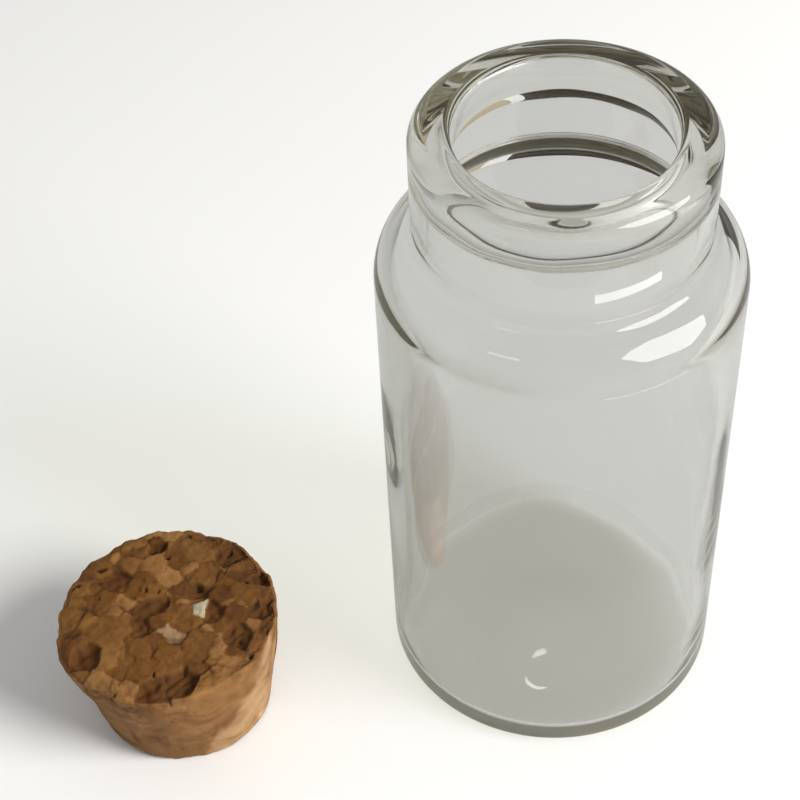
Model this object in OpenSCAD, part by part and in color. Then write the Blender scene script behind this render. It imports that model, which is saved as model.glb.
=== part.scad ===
// Small corked glass jar, with its tapered cork taken off and stood beside it.
// The origin is the middle of the jar's foot, +Z runs up the jar's axis.

/* [Jar body] */
// Outside diameter of the straight body
body_d = 30; // [27:1:40]
// Height of the jar from its foot to the top of the lip
jar_h = 60; // [45:1:90]
// Thickness of the blown wall
wall_t = 1.4; // [1:0.1:2]

/* [Base] */
// Thickness of the glass floor
floor_t = 1.6; // [1.2:0.1:4]
// Height by which the middle of the base is pushed up
punt_rise = 1; // [0.4:0.1:2]
// Width of the flat ring that the jar stands on
foot_ring_w = 1.5; // [0.5:0.1:3]
// Width of the rounded lower corner, seen from below
heel_w = 4.5; // [2:0.1:6]
// Height of the rounded lower corner
heel_h = 1.5; // [0.8:0.1:4]
// Radius between the wall and the floor, inside
floor_fillet_r = 1.2; // [0.5:0.1:3]

/* [Shoulder] */
// Radius of the rounded shoulder
shoulder_r = 4.6; // [3:0.1:10]
// Radius of the hollow between the shoulder and the neck
neck_fillet_r = 1.3; // [0.5:0.1:3]

/* [Neck and lip] */
// Outside diameter of the neck and lip
neck_d = 23.8; // [22.6:0.1:26]
// Height of the neck, from the top of the shoulder to the top of the lip
neck_h = 9.2; // [6:0.1:14]
// Diameter of the mouth that the cork goes into
mouth_d = 17.2; // [14:0.1:18]
// Height of the thick ring round the mouth
lip_h = 4.7; // [3.5:0.1:6]
// Radius of the lip's outer edge
lip_outer_r = 1.3; // [0.3:0.1:1.5]
// Radius of the lip's inner edge, at the top
lip_inner_r = 0.7; // [0.3:0.1:1]
// Radius of the lip's inner edge, at the bottom
lip_under_r = 1.8; // [0.3:0.1:1.8]

/* [Cork] */
// Height of the cork
cork_h = 12.2; // [8:0.1:20]
// How much narrower than the mouth the cork's small end is
cork_entry_play = 0.7; // [0.3:0.1:3]
// How much wider the cork's top is than its small end
cork_taper = 4.3; // [2:0.1:5]
// Rounding of the cork's edges
cork_edge_r = 0.5; // [0.2:0.1:1]
// Width of the largest hollow that a lost granule has left in the cork's top
pit_w = 3.4; // [2:0.1:4]
// Depth of the deepest of these hollows
pit_depth = 0.9; // [0.4:0.1:1.5]
// Clear gap between the jar's side and the cork's widest edge
cork_gap = 10.6; // [2:0.1:40]
// Bearing of the cork from the jar, counted from +X
cork_bearing = 197.1; // [0:0.1:360]

/* [Hidden] */
GLASS_TINT = [0.80, 0.83, 0.79, 0.45];
CORK_BROWN = [0.52, 0.36, 0.21];
ROUND_SIDES = 120;
ARC_STEPS = 8;
RIGHT_ANGLE = 90;
PIT_SIDES = 6;
CUT_OVER = 1;

// Where granules have come out of the cork's top. Each row holds the bearing from the cork's middle,
// and shares of the top's radius, of pit_w and of pit_depth: its distance, its width and its depth.
LOST_GRANULES = [
    [288, 0.78, 1.00, 1.0],
    [271, 0.81, 0.75, 1.0],
    [271, 1.00, 0.90, 0.5],
    [176, 0.19, 0.75, 0.8],
    [212, 0.27, 0.70, 0.7],
    [3, 0.42, 0.55, 0.6],
    [6, 0.83, 0.65, 0.8],
    [344, 0.67, 0.80, 0.8],
    [29, 0.84, 0.60, 1.0],
    [217, 0.79, 0.75, 0.9],
    [153, 0.62, 0.55, 0.6],
    [110, 0.74, 0.50, 0.9],
    [55, 0.83, 0.65, 0.7],
    [55, 0.37, 0.50, 0.9],
];

body_r = body_d / 2;
neck_r = neck_d / 2;
mouth_r = mouth_d / 2;
inner_r = body_r - wall_t;
neck_inner_r = neck_r - wall_t;
foot_inner_r = body_r - heel_w - foot_ring_w;

// The shoulder and the hollow above it are two arcs that meet on one slope.
// On a wide body the shoulder turns on a larger arc, so that it never overhangs.
shoulder_arc_r = max(shoulder_r, body_r - neck_r - neck_fillet_r);
bend_r = shoulder_arc_r + neck_fillet_r;
bend_angle = acos(1 - (body_r - neck_r) / bend_r);
neck_z = jar_h - neck_h;
shoulder_z = neck_z - bend_r * sin(bend_angle);
shoulder_centre = [body_r - shoulder_arc_r, shoulder_z];
hollow_centre = [neck_r + neck_fillet_r, neck_z];

lip_bottom_z = jar_h - lip_h;
ledge_r = min(lip_under_r, neck_inner_r - mouth_r);
ledge_fillet_r = neck_inner_r - mouth_r - ledge_r;

cork_small_r = (mouth_d - cork_entry_play) / 2;
cork_top_r = cork_small_r + cork_taper / 2;
cork_reach = body_r + cork_gap + cork_top_r;
cork_place = [cork_reach * cos(cork_bearing), cork_reach * sin(cork_bearing), 0];
cork_lean = atan((cork_top_r - cork_small_r) / cork_h);

// Points along an arc of radii [across, up] round a centre, between two angles.
function arc(centre, radii, from, to) = [
    for (step = [0 : ARC_STEPS])
        let (angle = from + (to - from) * step / ARC_STEPS)
            [centre.x + radii.x * cos(angle), centre.y + radii.y * sin(angle)]
];

function round_arc(centre, r, from, to) = arc(centre, [r, r], from, to);

// A shallow dome over a disc: from its middle out to its rim.
function dome(middle_z, rim_r, rim_z) = [
    for (step = [0 : ARC_STEPS])
        let (share = step / ARC_STEPS)
            [rim_r * share, rim_z + (middle_z - rim_z) * (1 + cos(180 * share)) / 2]
];

function reversed(points) = [for (i = [len(points) - 1 : -1 : 0]) points[i]];

// The jar's outside, from the middle of the base up to the top of the lip.
function jar_outside() = concat(
    dome(punt_rise, foot_inner_r, 0),
    arc([body_r - heel_w, heel_h], [heel_w, heel_h], -RIGHT_ANGLE, 0),
    round_arc(shoulder_centre, shoulder_arc_r, 0, bend_angle),
    round_arc(hollow_centre, neck_fillet_r, 180 + bend_angle, 180),
    round_arc([neck_r - lip_outer_r, jar_h - lip_outer_r], lip_outer_r, 0, RIGHT_ANGLE)
);

// The jar's inside, from the middle of the floor up to the top of the mouth.
function jar_inside() = concat(
    dome(punt_rise + floor_t, inner_r - floor_fillet_r, floor_t),
    round_arc([inner_r - floor_fillet_r, floor_t + floor_fillet_r], floor_fillet_r, -RIGHT_ANGLE, 0),
    round_arc(shoulder_centre, shoulder_arc_r - wall_t, 0, bend_angle),
    round_arc(hollow_centre, neck_fillet_r + wall_t, 180 + bend_angle, 180),
    round_arc([neck_inner_r - ledge_fillet_r, lip_bottom_z - ledge_fillet_r], ledge_fillet_r, 0, RIGHT_ANGLE),
    round_arc([mouth_r + ledge_r, lip_bottom_z + ledge_r], ledge_r, -RIGHT_ANGLE, -2 * RIGHT_ANGLE),
    round_arc([mouth_r + lip_inner_r, jar_h - lip_inner_r], lip_inner_r, 180, RIGHT_ANGLE)
);

module glass_jar() {
    color(GLASS_TINT)
        rotate_extrude($fn = ROUND_SIDES)
            polygon(concat(jar_outside(), reversed(jar_inside())));
}

// How far in from the leaning side an edge's rounding has its middle, at a height.
function edge_centre_r(z) = cork_small_r + z * tan(cork_lean) - cork_edge_r / cos(cork_lean);

// The plain tapered plug, standing on its small end.
module cork_plug() {
    bottom_edge = [edge_centre_r(cork_edge_r), cork_edge_r];
    top_edge = [edge_centre_r(cork_h - cork_edge_r), cork_h - cork_edge_r];
    rotate_extrude($fn = ROUND_SIDES)
        polygon(concat(
            [[0, 0]],
            round_arc(bottom_edge, cork_edge_r, -RIGHT_ANGLE, -cork_lean),
            round_arc(top_edge, cork_edge_r, -cork_lean, RIGHT_ANGLE),
            [[0, cork_h]]
        ));
}

// The hollow of one lost granule, as a cut into the cork's top.
module granule_pit(bearing, reach_share, width_share, depth_share) {
    depth = depth_share * pit_depth;
    rotate([0, 0, bearing])
        translate([reach_share * cork_top_r, 0, cork_h - depth])
            cylinder(d = width_share * pit_w, h = depth + CUT_OVER, $fn = PIT_SIDES);
}

module cork_stopper() {
    color(CORK_BROWN)
        translate(cork_place)
            difference() {
                cork_plug();
                for (granule = LOST_GRANULES)
                    granule_pit(granule[0], granule[1], granule[2], granule[3]);
            }
}

glass_jar();
cork_stopper();
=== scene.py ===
import math

import bpy
import numpy as np
from mathutils import Matrix, Vector


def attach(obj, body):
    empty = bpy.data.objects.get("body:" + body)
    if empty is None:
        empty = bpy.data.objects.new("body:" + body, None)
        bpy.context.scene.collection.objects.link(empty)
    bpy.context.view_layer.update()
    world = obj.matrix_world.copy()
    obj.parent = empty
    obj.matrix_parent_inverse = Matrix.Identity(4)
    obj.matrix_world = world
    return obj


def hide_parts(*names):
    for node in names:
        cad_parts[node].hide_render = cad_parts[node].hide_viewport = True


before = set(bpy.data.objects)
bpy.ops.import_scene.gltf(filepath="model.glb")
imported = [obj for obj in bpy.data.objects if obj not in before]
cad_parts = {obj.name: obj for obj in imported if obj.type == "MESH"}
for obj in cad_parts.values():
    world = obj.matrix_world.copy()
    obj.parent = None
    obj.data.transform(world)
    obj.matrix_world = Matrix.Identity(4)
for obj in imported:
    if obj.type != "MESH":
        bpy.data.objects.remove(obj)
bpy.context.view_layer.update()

SEED = 7
FLOOR_Z = -0.00004
MM = 0.001

# The same sizes as in part.scad, in millimetres.
BODY_R, JAR_H, WALL = 15.0, 60.0, 1.4
FLOOR_T, PUNT_RISE, FOOT_RING_W, HEEL_W, HEEL_H, FLOOR_FILLET_R = 1.6, 1.0, 1.5, 4.5, 1.5, 1.2
SHOULDER_R, NECK_FILLET_R = 4.6, 1.3
NECK_R, NECK_H, MOUTH_R = 11.9, 9.2, 8.6
LIP_H, LIP_OUTER_R, LIP_INNER_R, LIP_UNDER_R = 4.7, 1.3, 0.7, 1.8
CORK_H, CORK_SMALL_R, CORK_TOP_R = 12.2, 8.25, 10.4
CORK_REACH, CORK_BEARING = 36.0, 197.1
CORK_X = CORK_REACH * math.cos(math.radians(CORK_BEARING))
CORK_Y = CORK_REACH * math.sin(math.radians(CORK_BEARING))


# Small helpers for node trees and meshes

# The jar's skin is rounder than the solid's flat facets, so it is drawn in by this much.
JAR_FIT = 0.9998


def material(name):
    mat = bpy.data.materials.new(name)
    mat.use_nodes = True
    tree = mat.node_tree
    tree.nodes.clear()
    return mat, tree


def add(tree, kind, inputs=None, **settings):
    """A new node with some settings, and its inputs set to numbers or linked to sockets."""
    node = tree.nodes.new(kind)
    for key, value in settings.items():
        setattr(node, key, value)
    for key, value in (inputs or {}).items():
        if isinstance(value, bpy.types.NodeSocket):
            tree.links.new(value, node.inputs[key])
        else:
            node.inputs[key].default_value = value
    return node


def mesh_object(name, points, faces, smooth=True):
    mesh = bpy.data.meshes.new(name)
    mesh.from_pydata([tuple(p) for p in points], [], faces)
    mesh.polygons.foreach_set("use_smooth", [smooth] * len(mesh.polygons))
    mesh.update()
    piece = bpy.data.objects.new(name, mesh)
    bpy.context.scene.collection.objects.link(piece)
    return piece


# The jar

def arc(centre, radii, start, end, steps):
    angles = np.radians(np.linspace(start, end, steps + 1))
    return np.stack([centre[0] + radii[0] * np.cos(angles), centre[1] + radii[1] * np.sin(angles)], 1)


def round_arc(centre, radius, start, end, steps):
    return arc(centre, (radius, radius), start, end, steps)


def dome(middle_z, rim_r, rim_z, steps):
    share = np.linspace(0, 1, steps + 1)
    return np.stack([rim_r * share, rim_z + (middle_z - rim_z) * (1 + np.cos(np.pi * share)) / 2], 1)


def joined(*runs, hem=0.0):
    """One line of points from several, without doubled points, with long straights cut up.

    A hem is a short cut at both ends of a long straight, which keeps its shading straight.
    """
    line = np.concatenate(runs)
    keep = [line[0]]
    for point in line[1:]:
        gap = np.hypot(*(point - keep[-1]))
        if gap < 1e-6:
            continue
        parts = max(1, int(gap / 1.6))
        shares = [i / parts for i in range(1, parts + 1)]
        if hem and parts > 1:
            shares = [hem / gap] + shares[:-1] + [1 - hem / gap, 1]
        last = keep[-1]
        for share in shares:
            keep.append(last + (point - last) * share)
    return np.array(keep)


def jar_profiles():
    bend_r = SHOULDER_R + NECK_FILLET_R
    bend = math.degrees(math.acos(1 - (BODY_R - NECK_R) / bend_r))
    neck_z = JAR_H - NECK_H
    shoulder_z = neck_z - bend_r * math.sin(math.radians(bend))
    shoulder = (BODY_R - SHOULDER_R, shoulder_z)
    hollow = (NECK_R + NECK_FILLET_R, neck_z)
    inner_r, neck_inner_r = BODY_R - WALL, NECK_R - WALL
    lip_z = JAR_H - LIP_H
    ledge = min(LIP_UNDER_R, neck_inner_r - MOUTH_R)
    ledge_fillet = neck_inner_r - MOUTH_R - ledge
    outside = joined(
        dome(PUNT_RISE, BODY_R - HEEL_W - FOOT_RING_W, 0, 16),
        arc((BODY_R - HEEL_W, HEEL_H), (HEEL_W, HEEL_H), -90, 0, 16),
        round_arc(shoulder, SHOULDER_R, 0, bend, 16),
        round_arc(hollow, NECK_FILLET_R, 180 + bend, 180, 10),
        round_arc((NECK_R - LIP_OUTER_R, JAR_H - LIP_OUTER_R), LIP_OUTER_R, 0, 90, 14),
        hem=0.15,
    )
    inside = joined(
        dome(PUNT_RISE + FLOOR_T, inner_r - FLOOR_FILLET_R, FLOOR_T, 18),
        round_arc((inner_r - FLOOR_FILLET_R, FLOOR_T + FLOOR_FILLET_R), FLOOR_FILLET_R, -90, 0, 12),
        round_arc(shoulder, SHOULDER_R - WALL, 0, bend, 16),
        round_arc(hollow, NECK_FILLET_R + WALL, 180 + bend, 180, 12),
        round_arc((neck_inner_r - ledge_fillet, lip_z - ledge_fillet), ledge_fillet, 0, 90, 10),
        round_arc((MOUTH_R + ledge, lip_z + ledge), ledge, -90, -180, 20),
        round_arc((MOUTH_R + LIP_INNER_R, JAR_H - LIP_INNER_R), LIP_INNER_R, 180, 90, 10),
    )
    return outside, inside


def revolved(line, turns):
    """Points and faces of a closed skin whose line starts and ends on the axis."""
    angles = np.arange(turns) * 2 * np.pi / turns
    body = line[1:-1]
    points = [(0.0, 0.0, line[0][1])]
    for r, z in body:
        points += [(r * math.cos(a), r * math.sin(a), z) for a in angles]
    points.append((0.0, 0.0, line[-1][1]))
    faces, last = [], len(points) - 1
    for i in range(turns):
        j = (i + 1) % turns
        faces.append((0, 1 + j, 1 + i))
        for ring in range(len(body) - 1):
            low, high = 1 + ring * turns, 1 + (ring + 1) * turns
            faces.append((low + i, low + j, high + j, high + i))
        top = 1 + (len(body) - 1) * turns
        faces.append((last, top + i, top + j))
    return np.array(points), faces


def glass_material():
    """Clear glass, faintly olive where it is thick, and dull on the underside that the mould has left rough."""
    mat, tree = material("clear_glass")
    place = add(tree, "ShaderNodeTexCoord").outputs["Object"]
    height = add(tree, "ShaderNodeSeparateXYZ", {0: place}).outputs[2]
    dull = add(tree, "ShaderNodeMapRange", {0: height, 1: 0.0014, 2: 0.0011, 3: 0.0, 4: 0.35})
    body = add(tree, "ShaderNodeBsdfPrincipled", {
        "Base Color": (1, 1, 1, 1), "Roughness": dull.outputs[0], "IOR": 1.5, "Transmission Weight": 1.0})
    path = add(tree, "ShaderNodeLightPath")
    clear = add(tree, "ShaderNodeBsdfTransparent", {"Color": (0.93, 0.935, 0.92, 1)})
    mix = add(tree, "ShaderNodeMixShader", {
        0: path.outputs["Is Shadow Ray"], 1: body.outputs[0], 2: clear.outputs[0]})
    tint = add(tree, "ShaderNodeVolumeAbsorption", {"Color": (0.62, 0.58, 0.40, 1), "Density": 25.0})
    add(tree, "ShaderNodeOutputMaterial", {"Surface": mix.outputs[0], "Volume": tint.outputs[0]})
    return mat


def uneven_inside(points, draw):
    """The blown inside of the wall is a little uneven, but not where it meets the floor and the lip."""
    reach = np.hypot(points[:, 0], points[:, 1])
    share = smoothstep(4, 8, points[:, 2]) * smoothstep(48, 43, points[:, 2])
    shift = 1 + 0.07 * share * waves(points * (1, 1, 0.7), 11, draw) / np.maximum(reach, 1)
    ledge = smoothstep(51.5, 54, points[:, 2]) * smoothstep(59, 57, points[:, 2])
    sag = 0.06 * ledge * waves(points, 5, draw)
    return points * np.stack([shift, shift, np.ones(len(points))], 1) + np.stack([0 * sag, 0 * sag, sag], 1)


def make_jar():
    outside, inside = jar_profiles()
    points, faces = revolved(np.concatenate([outside, inside[::-1]]), 192)
    within = np.arange(len(points)) > 1 + (len(outside) - 1) * 192
    uneven = uneven_inside(points, np.random.default_rng(SEED))
    points = np.where(within[:, None], uneven, points) * (JAR_FIT, JAR_FIT, 1)
    jar = mesh_object("jar_glass", points * MM, faces)
    jar.data.materials.append(glass_material())
    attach(jar, "jar")
    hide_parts("glass_jar")


# The cork

GRANULE_MM = 2.0
PIT_W, PIT_DEPTH = 3.4, 0.9
# Where granules have come out of the cork's top, with the same shares as in part.scad:
# bearing from the cork's middle, then shares of the top's radius, of PIT_W and of PIT_DEPTH.
LOST_GRANULES = (
    (288, 0.78, 1.00, 1.0), (271, 0.81, 0.75, 1.0), (271, 1.00, 0.90, 0.5), (176, 0.19, 0.75, 0.8),
    (212, 0.27, 0.70, 0.7), (3, 0.42, 0.55, 0.6), (6, 0.83, 0.65, 0.8), (344, 0.67, 0.80, 0.8),
    (29, 0.84, 0.60, 1.0), (217, 0.79, 0.75, 0.9), (153, 0.62, 0.55, 0.6), (110, 0.74, 0.50, 0.9),
    (55, 0.83, 0.65, 0.7), (55, 0.37, 0.50, 0.9))
# Small dark holes between the granules of the top: bearing and distance from its middle, and width.
SMALL_HOLES = (
    (147, 8.4, 0.8), (110, 7.7, 0.7), (100, 6.4, 0.8), (134, 3.4, 0.6), (168, 6.7, 0.5), (87, 9.4, 0.7),
    (58, 8.8, 0.6), (52, 8.7, 0.6), (55, 3.9, 0.8), (32, 9.6, 0.6), (28, 9.0, 1.0), (32, 7.9, 0.6),
    (10, 8.2, 0.7), (342, 7.5, 0.6), (335, 8.5, 0.6), (333, 9.7, 0.6), (119, 2.7, 0.4), (269, 7.0, 0.5),
    (165, 9.5, 0.6), (249, 10.0, 0.6), (280, 10.2, 0.6))
PALE_GRANULE = (3.0, 0.5)
TOP_CELLS, SIDE_ROWS, EDGE_ROWS = 132, 74, 8
CORK_EDGE_R = 0.5
LEAN = math.atan((CORK_TOP_R - CORK_SMALL_R) / CORK_H)


def waves(points, length, draw, count=14):
    """Smooth noise, mostly from -1 to 1, from sine waves of about one length that run in random directions."""
    ways = draw.normal(size=(count, 3))
    ways *= (2 * np.pi / (length * draw.uniform(0.7, 1.5, count)) / np.linalg.norm(ways, axis=1))[:, None]
    return np.sin(points @ ways.T + draw.uniform(0, 2 * np.pi, count)).sum(1) / math.sqrt(count / 1.3)


def smoothstep(low, high, values):
    share = np.clip((values - low) / (high - low), 0, 1)
    return share * share * (3 - 2 * share)


def bell(values, middle, width):
    return np.exp(-((values - middle) / width) ** 2)


def edge_centre_r(z):
    return CORK_SMALL_R + z * math.tan(LEAN) - CORK_EDGE_R / math.cos(LEAN)


def disc_points(radius, z):
    """A square grid of points bent into a disc, row by row."""
    across = np.linspace(-1, 1, TOP_CELLS + 1)
    u, v = np.meshgrid(across, across, indexing="ij")
    far = np.maximum(np.abs(u), np.abs(v))
    wide = np.abs(u) >= np.abs(v)
    with np.errstate(divide="ignore", invalid="ignore"):
        angle = np.where(wide, np.pi / 4 * v / u, np.pi / 2 - np.pi / 4 * u / v)
    angle = np.nan_to_num(angle)
    size = np.where(wide, u, v)
    x, y = size * np.cos(angle) * radius, size * np.sin(angle) * radius
    return np.stack([x, y, np.full_like(x, z)], -1).reshape(-1, 3), far


def disc_rim(n):
    """The numbers of a grid's outer points, once round against the clock from the corner at -45 degrees."""
    side = n + 1
    right = [n * side + j for j in range(n)]
    back = [i * side + n for i in range(n, 0, -1)]
    left = [j for j in range(n, 0, -1)]
    front = [i * side for i in range(n)]
    return right + back + left + front


def disc_faces(n, start, up):
    faces = []
    for i in range(n):
        for j in range(n):
            a, b = start + i * (n + 1) + j, start + (i + 1) * (n + 1) + j
            faces.append((a, b, b + 1, a + 1) if up else (a, a + 1, b + 1, b))
    return faces


def cork_skin():
    """Points, outward ways and faces of the plain tapered plug, in millimetres, standing on its small end."""
    top_r, low_r = edge_centre_r(CORK_H - CORK_EDGE_R), edge_centre_r(CORK_EDGE_R)
    top, _ = disc_points(top_r, CORK_H)
    low, _ = disc_points(low_r, 0)
    rim = disc_rim(TOP_CELLS)
    angles = np.arctan2(top[rim, 1], top[rim, 0])
    lean = math.degrees(LEAN)
    edge = round_arc((top_r, CORK_H - CORK_EDGE_R), CORK_EDGE_R, 90, -lean, EDGE_ROWS)[1:]
    foot = round_arc((low_r, CORK_EDGE_R), CORK_EDGE_R, -lean, -90, EDGE_ROWS)[:-1]
    share = np.linspace(0, 1, SIDE_ROWS + 1)[1:-1, None]
    line = np.concatenate([edge, edge[-1] + (foot[0] - edge[-1]) * share, foot])
    tilt = np.concatenate([np.linspace(90, -lean, EDGE_ROWS + 1)[1:], np.full(SIDE_ROWS - 1, -lean),
                           np.linspace(-lean, -90, EDGE_ROWS + 1)[:-1]])
    columns = len(rim)
    side = np.stack([np.outer(line[:, 0], np.cos(angles)), np.outer(line[:, 0], np.sin(angles)),
                     np.repeat(line[:, 1:], columns, 1)], -1).reshape(-1, 3)
    tilt = np.radians(tilt)
    side_way = np.stack([np.outer(np.cos(tilt), np.cos(angles)), np.outer(np.cos(tilt), np.sin(angles)),
                         np.repeat(np.sin(tilt)[:, None], columns, 1)], -1).reshape(-1, 3)
    points = np.concatenate([top, side, low])
    ways = np.concatenate([np.tile((0.0, 0, 1), (len(top), 1)), side_way, np.tile((0.0, 0, -1), (len(low), 1))])
    first_low = len(top) + len(side)
    rings = [rim] + [[len(top) + row * columns + i for i in range(columns)] for row in range(len(line))]
    rings.append([first_low + i for i in rim])
    faces = disc_faces(TOP_CELLS, 0, True) + disc_faces(TOP_CELLS, first_low, False)
    for above, below in zip(rings, rings[1:]):
        faces += [(above[i], below[i], below[(i + 1) % columns], above[(i + 1) % columns]) for i in range(columns)]
    return points, ways, faces


def lost_middles():
    """The middles of the granules that are missing from the top, their widths and their depths."""
    bearing, reach, width, depth = (np.array(LOST_GRANULES) * (1, CORK_TOP_R, PIT_W, PIT_DEPTH)).T
    turn = np.radians(bearing)
    return np.stack([reach * np.cos(turn), reach * np.sin(turn), CORK_H - depth / 2], 1), width, depth


def granule_middles(draw):
    """The middle of every granule of pressed cork, how much larger than most it is, and how far the top ones are sunk."""
    grid = np.stack(np.meshgrid(*(np.arange(low, high, GRANULE_MM) for low, high in
                                  ((-11.5, 11.6), (-11.5, 11.6), (-1.2, 13.5))), indexing="ij"), -1).reshape(-1, 3)
    middles = grid + draw.uniform(-0.55, 0.55, grid.shape) * GRANULE_MM
    sizes = 1.1 * draw.uniform(0, 1, len(middles)) ** 2
    lost, width, depth = lost_middles()
    pale = np.array([(*PALE_GRANULE, CORK_H)])
    far = np.linalg.norm(middles[:, None] - lost[None], axis=2) > 0.5 * width
    far_from_pale = np.linalg.norm(middles - pale, axis=1) > 1.35
    kept = far.all(1) & far_from_pale
    middles, sizes = middles[kept], sizes[kept]
    drop = 0.30 * draw.uniform(0, 1, len(middles)) ** 1.6
    count = len(middles)
    tone = draw.uniform(0, 0.97, count)
    middles = np.concatenate([middles, lost, pale])
    sizes = np.concatenate([sizes, (width - GRANULE_MM) / 2 + 0.2, [-0.15]])
    return middles, sizes, np.concatenate([drop, depth, [0.03]]), np.concatenate([tone, 0.1 + 0 * depth, [1.0]])


def granules(points, middles, sizes, draw):
    """Which granule each point is in, which one is next to it there, and how far it is from their joint."""
    bent = points + 0.13 * np.stack([waves(points, 2.2, draw) for _ in range(3)], -1)
    bent += 0.05 * np.stack([waves(points, 0.8, draw) for _ in range(3)], -1)
    pair, gap = np.empty((len(points), 2), int), np.empty(len(points))
    for start in range(0, len(points), 4096):
        part = bent[start:start + 4096]
        away = np.sqrt(((part[:, None] - middles[None]) ** 2).sum(-1)) - sizes
        nearest = np.argpartition(away, 1, axis=1)[:, :2]
        near = np.take_along_axis(away, nearest, 1)
        swap = (near[:, 0] > near[:, 1])[:, None]
        pair[start:start + 4096] = np.where(swap, nearest[:, ::-1], nearest)
        gap[start:start + 4096] = np.abs(near[:, 1] - near[:, 0]) / 2
    return pair[:, 0], pair[:, 1], gap


def small_holes(points, draw):
    """How much of a small dark hole each point of the top is in."""
    bearing, reach, width = np.array(SMALL_HOLES).T
    turn = np.radians(bearing)
    bent = points[:, :2] + 0.17 * np.stack([waves(points, 0.9, draw) for _ in range(2)], -1)
    away = np.hypot(bent[:, :1] - reach * np.cos(turn), bent[:, 1:] - reach * np.sin(turn)) / (width / 2)
    near_top = smoothstep(CORK_H - 1.6, CORK_H - 0.4, points[:, 2])
    return (1 - smoothstep(0.3, 1.1, away.min(1))) * near_top


def crumbly(points):
    """Where the top's rim is loose and dark: on the right, away from the jar's light."""
    turn = np.arctan2(points[:, 1], points[:, 0])
    reach = np.hypot(points[:, 0], points[:, 1])
    side = smoothstep(0.25, 0.85, np.cos(turn - math.radians(22)))
    return side * smoothstep(7.6, 9.4, reach) * smoothstep(CORK_H - 2.2, CORK_H - 0.6, points[:, 2])


def cork_relief(points, ways, draw):
    """How deep each point lies under the plain plug, and the values that the cork's colour is mixed from."""
    middles, sizes, drop, tone = granule_middles(draw)
    owner, other, gap = granules(points, middles, sizes, draw)
    step = 0.5 + 0.5 * smoothstep(0, 0.2, gap)
    sunk = drop[owner] * step + drop[other] * (1 - step)
    slope = draw.normal(0, 0.07, (len(middles), 3))
    lean = np.clip((slope[owner] * (points - middles[owner])).sum(1), -0.16, 0.16)
    open_joint = smoothstep(0.1, 1.2, waves(points, 3.2, draw))
    joint = np.exp(-(gap / 0.10) ** 2) * (0.15 + 0.85 * open_joint)
    crumbs = 0.03 * waves(points, 1.1, draw) + 0.012 * waves(points, 0.4, draw)
    holes, loose = small_holes(points, draw), crumbly(points)
    crumbs += 0.09 * smoothstep(0.3, 0.6, sunk) * waves(points, 1.0, draw)
    crumbs += loose * (0.10 * np.abs(waves(points, 0.7, draw)) + 0.05 * waves(points, 0.4, draw))
    rough = smoothstep(0.25, 0.95, np.abs(ways[:, 2]))
    degrees = np.degrees(np.arctan2(points[:, 1], points[:, 0])) % 360
    over = smoothstep(CORK_H - 3.4, CORK_H - 1.6, points[:, 2] + 0.5 * waves(points, 2.5, draw))
    rough = np.maximum(rough, over * bell(degrees, 225, 36))
    ends = sunk + lean * step + 0.07 * np.exp(-gap / 0.3) + 0.18 * joint + crumbs
    pits = smoothstep(1.25, 1.85, waves(points * (1, 1, 1.6), 1.7, draw))
    side = 0.05 + 0.04 * waves(points, 4.0, draw) + 0.05 * joint + 0.20 * pits + 0.3 * crumbs
    depth = np.maximum(rough * ends + (1 - rough) * side + 0.30 * holes, 0.0)
    return depth, {"tone": tone[owner], "joint": joint, "depth": depth, "cut": 1 - rough, "pits": pits,
                   "holes": holes, "loose": loose}


def worn_shape(points, draw):
    """The plug as it was used: leaning a little, bulged at the left, worn in along the front and round its rim."""
    share = points[:, 2] / CORK_H
    turn = np.arctan2(points[:, 1], points[:, 0])
    degrees = np.degrees(turn) % 360
    reach = np.hypot(points[:, 0], points[:, 1])
    outer = smoothstep(0.55, 1, reach / (CORK_SMALL_R + share * (CORK_TOP_R - CORK_SMALL_R)))
    grow = -0.27 + 0.06 * share
    grow += (0.55 * bell(degrees, 211, 17) - 0.30 * bell(degrees, 240, 7)) * smoothstep(0.35, 0.9, share)
    grow -= (0.45 * bell(degrees, 310, 24) + 0.20 * bell(degrees, 110, 9)) * smoothstep(0.6, 1, share)
    grow += 0.07 * waves(points, 5.5, draw)
    away = np.hypot(reach - CORK_TOP_R, points[:, 2] - CORK_H)
    worn = 0.12 + 0.14 * np.clip(waves(points, 2.4, draw), -0.8, 2) + 0.05 * waves(points, 0.8, draw)
    chip = np.clip(worn, 0, 0.6) * np.exp(-(away / 0.7) ** 2)
    edge = 0.75 * bell(degrees, 222, 34) * np.exp(-(away / 1.5) ** 2)
    moved = points.copy()
    for axis, way in ((0, np.cos(turn)), (1, np.sin(turn))):
        moved[:, axis] += (outer * grow - chip - 0.25 * edge) * way
    moved[:, 0] += 0.30 - 0.45 * share
    moved[:, 1] += 0.03 - 0.05 * share
    moved[:, 2] -= 0.8 * chip + edge
    return moved


def cork_material():
    mat, tree = material("granulated_cork")
    value = {name: add(tree, "ShaderNodeAttribute", attribute_name=name) for name in
             ("tone", "joint", "depth", "cut", "holes", "loose", "painted_light_patch")}
    place = add(tree, "ShaderNodeTexCoord").outputs["Object"]
    return mat, tree, value, place


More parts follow.
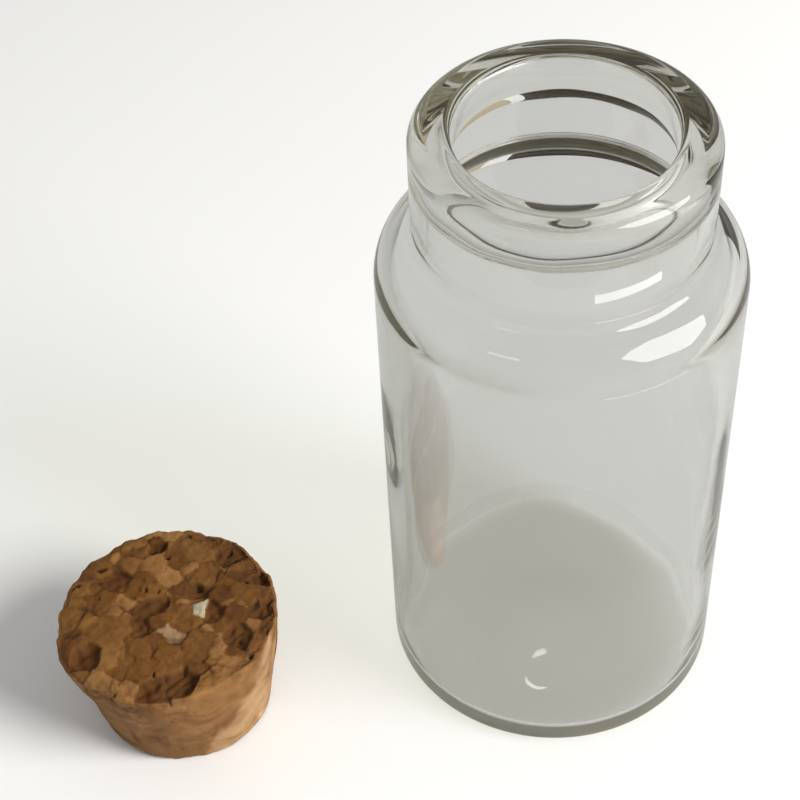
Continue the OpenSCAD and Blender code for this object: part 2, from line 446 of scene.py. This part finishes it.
def finish_cork_material():
    mat, tree, value, place = cork_material()

    def ramp(socket, *stops):
        node = add(tree, "ShaderNodeValToRGB", {0: socket})
        node.color_ramp.elements[0].position, node.color_ramp.elements[0].color = stops[0]
        node.color_ramp.elements[1].position, node.color_ramp.elements[1].color = stops[-1]
        for position, colour in stops[1:-1]:
            node.color_ramp.elements.new(position).color = colour
        return node.outputs[0]

    def noise(scale, detail, rough, **more):
        return add(tree, "ShaderNodeTexNoise", {
            "Vector": place, "Scale": scale, "Detail": detail, "Roughness": rough, **more}).outputs[0]

    def mix(amount, a, b, blend="MIX"):
        node = add(tree, "ShaderNodeMix", data_type="RGBA", blend_type=blend)
        for key, item in ((0, amount), (6, a), (7, b)):
            if isinstance(item, bpy.types.NodeSocket):
                tree.links.new(item, node.inputs[key])
            else:
                node.inputs[key].default_value = item
        return node.outputs[2]

    def maths(kind, a, b, clamp=False):
        return add(tree, "ShaderNodeMath", {0: a, 1: b}, operation=kind, use_clamp=clamp).outputs[0]

    granule = ramp(value["tone"].outputs["Fac"],
                   (0.0, (0.100, 0.036, 0.007, 1)), (0.3, (0.138, 0.054, 0.010, 1)),
                   (0.7, (0.178, 0.078, 0.018, 1)), (0.95, (0.27, 0.130, 0.042, 1)), (1.0, (0.42, 0.36, 0.24, 1)))
    mottle = noise(1100, 6, 0.75)
    grain = mix(mottle, (0.30, 0.26, 0.22, 1), (1.62, 1.66, 1.70, 1))
    ends = mix(1.0, granule, grain, "MULTIPLY")
    flow = noise(230, 4, 0.55, Distortion=1.5)
    side = ramp(flow, (0.30, (0.24, 0.125, 0.052, 1)), (0.5, (0.38, 0.22, 0.105, 1)), (0.72, (0.50, 0.32, 0.17, 1)))
    side = mix(1.0, side, mix(mottle, (0.85, 0.83, 0.8, 1), (1.12, 1.13, 1.15, 1)), "MULTIPLY")
    # Painted shade: the side is painted darker outside the band that faces the key lamp.
    side = mix(value["painted_light_patch"].outputs["Fac"], mix(1.0, side, (0.58, 0.47, 0.31, 1), "MULTIPLY"), side)
    ends = mix(maths("MULTIPLY", value["loose"].outputs["Fac"], 0.6), ends, (0.095, 0.034, 0.011, 1))
    colour = mix(value["cut"].outputs["Fac"], ends, side)
    # Painted shade: the deeper a point is sunk into the plug, the darker it is painted, so pits, sunk granules and
    # joints look shaded.
    hollow = maths("MULTIPLY", maths("SUBTRACT", value["depth"].outputs["Fac"], 0.12), 1.9, True)
    colour = mix(maths("MULTIPLY", hollow, 0.6), colour, (0.078, 0.029, 0.007, 1))
    # The small holes are real dents in the relief, and their near-black colour is painted shade in them.
    colour = mix(value["holes"].outputs["Fac"], colour, (0.012, 0.008, 0.003, 1))
    dark = maths("MULTIPLY", value["joint"].outputs["Fac"], 0.7, True)
    colour = mix(maths("MULTIPLY", dark, maths("SUBTRACT", 1.15, value["cut"].outputs["Fac"]), True),
                 colour, (0.055, 0.020, 0.006, 1))
    bump = add(tree, "ShaderNodeBump", {
        "Strength": 0.5, "Distance": 0.00012, "Height": noise(2600, 5, 0.65)})
    body = add(tree, "ShaderNodeBsdfPrincipled", {
        "Base Color": colour, "Roughness": 0.82, "Specular IOR Level": 0.25, "Normal": bump.outputs[0]})
    add(tree, "ShaderNodeOutputMaterial", {"Surface": body.outputs[0]})
    return mat


def make_cork():
    draw = np.random.default_rng(SEED)
    points, ways, faces = cork_skin()
    depth, values = cork_relief(points, ways, draw)
    # Painted light and shade: a band of the side that faces the key lamp keeps the lighter colour, and the rest of the
    # side is painted darker.
    bearing = np.degrees(np.arctan2(points[:, 1], points[:, 0])) % 360 + 6 * waves(points, 4, draw)
    values["painted_light_patch"] = smoothstep(-7, 7, bearing - 316 - 4 * (points[:, 2] - 6)) * smoothstep(6, -6, bearing - 356)
    points = worn_shape(points - ways * depth[:, None], draw)
    points = np.clip(points, (-10.29, -10.39, 0.0), (10.3, 10.39, CORK_H))
    cork = mesh_object("cork_granules", (points + (CORK_X, CORK_Y, 0)) * MM, faces)
    for name, numbers in values.items():
        cork.data.attributes.new(name, "FLOAT", "POINT").data.foreach_set("value", numbers.astype(np.float32))
    cork.data.materials.append(finish_cork_material())
    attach(cork, "cork")
    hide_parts("cork_stopper")


# The room

def floor_material():
    mat, tree = material("floor")
    # Painted shade: the floor is painted darker for rays that come through or off the glass, so the floor seen in and
    # under the jar is greyer than round it.
    path = add(tree, "ShaderNodeLightPath")
    painted_glass_shade = add(tree, "ShaderNodeMath", {
        0: path.outputs["Is Transmission Ray"], 1: path.outputs["Is Glossy Ray"]}, operation="MAXIMUM")
    tone = add(tree, "ShaderNodeMix", data_type="RGBA")
    tree.links.new(painted_glass_shade.outputs[0], tone.inputs[0])
    tone.inputs[6].default_value, tone.inputs[7].default_value = (0.80, 0.80, 0.79, 1), (0.49, 0.495, 0.485, 1)
    body = add(tree, "ShaderNodeBsdfPrincipled", {
        "Base Color": tone.outputs[2], "Roughness": 0.9, "Specular IOR Level": 0.1})
    add(tree, "ShaderNodeOutputMaterial", {"Surface": body.outputs[0]})
    return mat


def make_floor():
    floor = mesh_object("floor", [(x, y, FLOOR_Z) for x, y in ((-6, -6), (6, -6), (6, 6), (-6, 6))], [(0, 1, 2, 3)])
    floor.data.materials.append(floor_material())


def toward(azimuth, elevation):
    """A way from the jar's shoulder, by its bearing from +X and its height over the horizon in degrees."""
    turn, rise = math.radians(azimuth), math.radians(elevation)
    return Vector((math.cos(turn) * math.cos(rise), math.sin(turn) * math.cos(rise), math.sin(rise)))


def make_lamp(name, way, distance, size, power, colour):
    """A soft lamp that lights the scene but isn't seen in the glass, which mirrors the cards instead."""
    data = bpy.data.lights.new(name, "AREA")
    data.shape, data.size, data.energy, data.color = "DISK", size, power, colour
    lamp = bpy.data.objects.new(name, data)
    bpy.context.scene.collection.objects.link(lamp)
    place = SHOULDER_AT + toward(*way) * distance
    lamp.location = place
    lamp.rotation_euler = (Vector((-0.015, 0, 0.01)) - place).to_track_quat("-Z", "Y").to_euler()
    lamp.visible_glossy = lamp.visible_transmission = False


def make_card(name, corners, strength, colour):
    """A bright sheet that only the glass sees: it gives the glints and puts no light on the floor."""
    card = mesh_object(name, corners, [tuple(range(len(corners)))], False)
    mat, tree = material(name)
    glow = add(tree, "ShaderNodeEmission", {"Color": colour, "Strength": strength})
    clear = add(tree, "ShaderNodeBsdfTransparent")
    path = add(tree, "ShaderNodeLightPath")
    inside = add(tree, "ShaderNodeMath", {0: path.outputs["Transmission Depth"], 1: 0.5}, operation="GREATER_THAN")
    mix = add(tree, "ShaderNodeMixShader", {0: inside.outputs[0], 1: glow.outputs[0], 2: clear.outputs[0]})
    add(tree, "ShaderNodeOutputMaterial", {"Surface": mix.outputs[0]})
    card.data.materials.append(mat)
    card.visible_camera = card.visible_diffuse = card.visible_shadow = False


def make_painted_sheet(name, points, faces, colour, passes, turns_back):
    """A sheet that only the glass sees, and only along rays that have passed through and mirrored in the glass a given
    number of times: it paints a reflection into the glass, dark, pale or glowing.
    """
    sheet = mesh_object(name, points, faces)
    mat, tree = material(name)
    glow = add(tree, "ShaderNodeEmission", {"Color": colour, "Strength": 1.0})
    clear = add(tree, "ShaderNodeBsdfTransparent")
    path = add(tree, "ShaderNodeLightPath")
    shown = None
    for depth, (least, most) in (("Transmission Depth", passes), ("Glossy Depth", turns_back)):
        for kind, limit in (("GREATER_THAN", least - 0.5), ("LESS_THAN", most + 0.5)):
            test = add(tree, "ShaderNodeMath", {0: path.outputs[depth], 1: limit}, operation=kind).outputs[0]
            shown = test if shown is None else add(tree, "ShaderNodeMath", {0: shown, 1: test}, operation="MULTIPLY").outputs[0]
    mix = add(tree, "ShaderNodeMixShader", {0: shown, 1: clear.outputs[0], 2: glow.outputs[0]})
    add(tree, "ShaderNodeOutputMaterial", {"Surface": mix.outputs[0]})
    sheet.data.materials.append(mat)
    sheet.visible_camera = sheet.visible_diffuse = sheet.visible_shadow = False


def make_painted_sheets():
    """Painted reflections and painted shade that only the glass shows: dark, white and cream screens behind the jar
    that the lip mirrors, painted shade round the jar's foot and in front of it, and a painted glint on the base.
    """
    dark, white, cream = (0.024, 0.015, 0.007, 1), (0.85, 0.84, 0.80, 1), (0.46, 0.37, 0.23, 1)
    # Painted reflections in the lip: a dark screen for its dark band, and white and cream screens for its pale streaks.
    far, top = 0.0935, 0.11
    for name, low, high, colour in (("dark_screen", 46, 97.5, dark), ("white_screen", 97.5, 101, white),
                                    ("cream_screen", 101, 120, cream)):
        turns = [math.radians(turn) for turn in np.linspace(low, high, 18)]
        wall = [(far * math.cos(turn), far * math.sin(turn), z) for z in (0.0004, top) for turn in turns]
        make_painted_sheet(name, wall, [(i, i + 1, 19 + i, 18 + i) for i in range(17)], colour, (1, 2), (0, 99))
    # Painted shade under and round the jar's foot, for light that has wandered inside the glass.
    under = [(x * MM, y * MM, FLOOR_Z / 2) for x, y in ((-20, -2), (8, -2), (8, 30), (-20, 30))]
    make_painted_sheet("dark_foot", under, [(0, 1, 2, 3)], dark, (1, 9), (2, 99))
    # Painted shade on the floor in front of the jar, for light that has passed four times through the glass.
    front = [(x * MM, y * MM, FLOOR_Z / 2) for x, y in ((-150, -520), (150, -520), (36, -22), (-36, -22))]
    make_painted_sheet("dark_front", front, [(0, 1, 2, 3)], dark, (4, 4), (1, 9))
    # A glowing disc, no lamp, that paints the glints on the jar's base.
    way, middle = Vector((-0.016, 0.382, 0.924)), Vector((-0.0042, 0.0903, 0.2333))
    side = way.cross(Vector((1, 0, 0))).normalized()
    across = side.cross(way).normalized()
    rim = [middle + (across * math.cos(turn) + side * math.sin(turn)) * 0.009 for turn in np.radians(range(0, 360, 20))]
    make_painted_sheet("base_glint_disc", rim, [tuple(range(18))], (14, 14, 13.6, 1), (3, 6), (1, 2))


SHOULDER_AT = Vector((0.008, -0.011, 0.049))
# Corners of the sheets that paint the window highlights, as bearing and height in degrees from the shoulder.
WINDOW = ((-52, 34), (-42, 43), (-25, 46), (6, 24), (0, 9), (-14, 2), (-42, 15))
SIDE_WINDOW = ((-134, 33), (-114, 36), (-114, 40), (-134, 37))


def make_cards():
    # Glowing sheets that light nothing and only the glass's outer skin mirrors: painted highlights of a window on the
    # right of the shoulder and of a side window on its left.
    make_card("window_glint", [SHOULDER_AT + toward(*way) * 0.4 for way in WINDOW], 8.5, (1, 1, 0.98, 1))
    make_card("side_window_glint", [Vector((-0.004, -0.013, 0.049)) + toward(*way) * 0.4 for way in SIDE_WINDOW],
              4.0, (1, 1, 0.98, 1))
    # A glowing strip just over the floor, seen only in the glass, that paints the highlight on the neck.
    turns = [math.radians(turn) for turn in range(-66, -14, 2)]
    near_edge = [(0.0673 * math.cos(turn), 0.0673 * math.sin(turn), 0.0005) for turn in turns]
    far_edge = [(0.0688 * math.cos(turn), 0.0688 * math.sin(turn), 0.0005) for turn in turns]
    painted_light_patch = near_edge + far_edge[::-1]
    make_card("neck_glint_spot", painted_light_patch, 6.5, (1, 1, 0.98, 1))


def make_world():
    """A pale room that is a little darker and browner overhead, for what the glass mirrors."""
    world = bpy.data.worlds.new("room")
    bpy.context.scene.world = world
    world.use_nodes = True
    tree = world.node_tree
    tree.nodes.clear()
    way = add(tree, "ShaderNodeTexCoord").outputs["Generated"]
    height = add(tree, "ShaderNodeSeparateXYZ", {0: way}).outputs[2]
    shade = add(tree, "ShaderNodeValToRGB", {0: height})
    shade.color_ramp.elements[0].position, shade.color_ramp.elements[0].color = 0.1, (0.62, 0.62, 0.59, 1)
    shade.color_ramp.elements[1].position, shade.color_ramp.elements[1].color = 0.75, (0.42, 0.41, 0.37, 1)
    seen = add(tree, "ShaderNodeBackground", {"Color": shade.outputs[0], "Strength": 1.0})
    soft = add(tree, "ShaderNodeBackground", {"Color": (1, 1, 1, 1), "Strength": 0.50})
    plain = add(tree, "ShaderNodeBackground", {"Color": (0.43, 0.43, 0.425, 1), "Strength": 1.0})
    path = add(tree, "ShaderNodeLightPath")
    lit = add(tree, "ShaderNodeMixShader", {
        0: path.outputs["Is Diffuse Ray"], 1: seen.outputs[0], 2: soft.outputs[0]})
    both = add(tree, "ShaderNodeMixShader", {
        0: path.outputs["Is Camera Ray"], 1: lit.outputs[0], 2: plain.outputs[0]})
    add(tree, "ShaderNodeOutputWorld", {"Surface": both.outputs[0]})


# Where the photograph was taken from: the lens and the place come from a fit to the jar's outline.
LENS_MM, SENSOR_MM = 83.089, 36.0
CAMERA_AT = (0.0, -0.110284, 0.145459)
CAMERA_PITCH, CAMERA_TURN, CAMERA_ROLL = 46.1332, -6.9902, -3.2064


def make_camera():
    pitch, turn, roll = (math.radians(a) for a in (CAMERA_PITCH, CAMERA_TURN, CAMERA_ROLL))
    ahead = Vector((math.sin(turn) * math.cos(pitch), math.cos(turn) * math.cos(pitch), -math.sin(pitch)))
    right = ahead.cross(Vector((0, 0, 1))).normalized()
    up = right.cross(ahead)
    across = math.cos(roll) * right + math.sin(roll) * up
    upward = -math.sin(roll) * right + math.cos(roll) * up
    data = bpy.data.cameras.new("camera")
    data.lens, data.sensor_width, data.clip_start = LENS_MM, SENSOR_MM, 0.01
    camera = bpy.data.objects.new("camera", data)
    bpy.context.scene.collection.objects.link(camera)
    turned = Matrix((across, upward, -ahead)).transposed().to_4x4()
    camera.matrix_world = Matrix.Translation(CAMERA_AT) @ turned
    bpy.context.scene.camera = camera


def settle_view():
    scene = bpy.context.scene
    scene.view_settings.view_transform = "Standard"
    scene.cycles.max_bounces = scene.cycles.glossy_bounces = scene.cycles.transmission_bounces = 64


make_jar()
make_cork()
make_floor()
make_world()
make_cards()
make_painted_sheets()
make_lamp("key", (-20, 36), 0.5, 0.26, 4.0, (1, 0.985, 0.96))
make_camera()
settle_view()
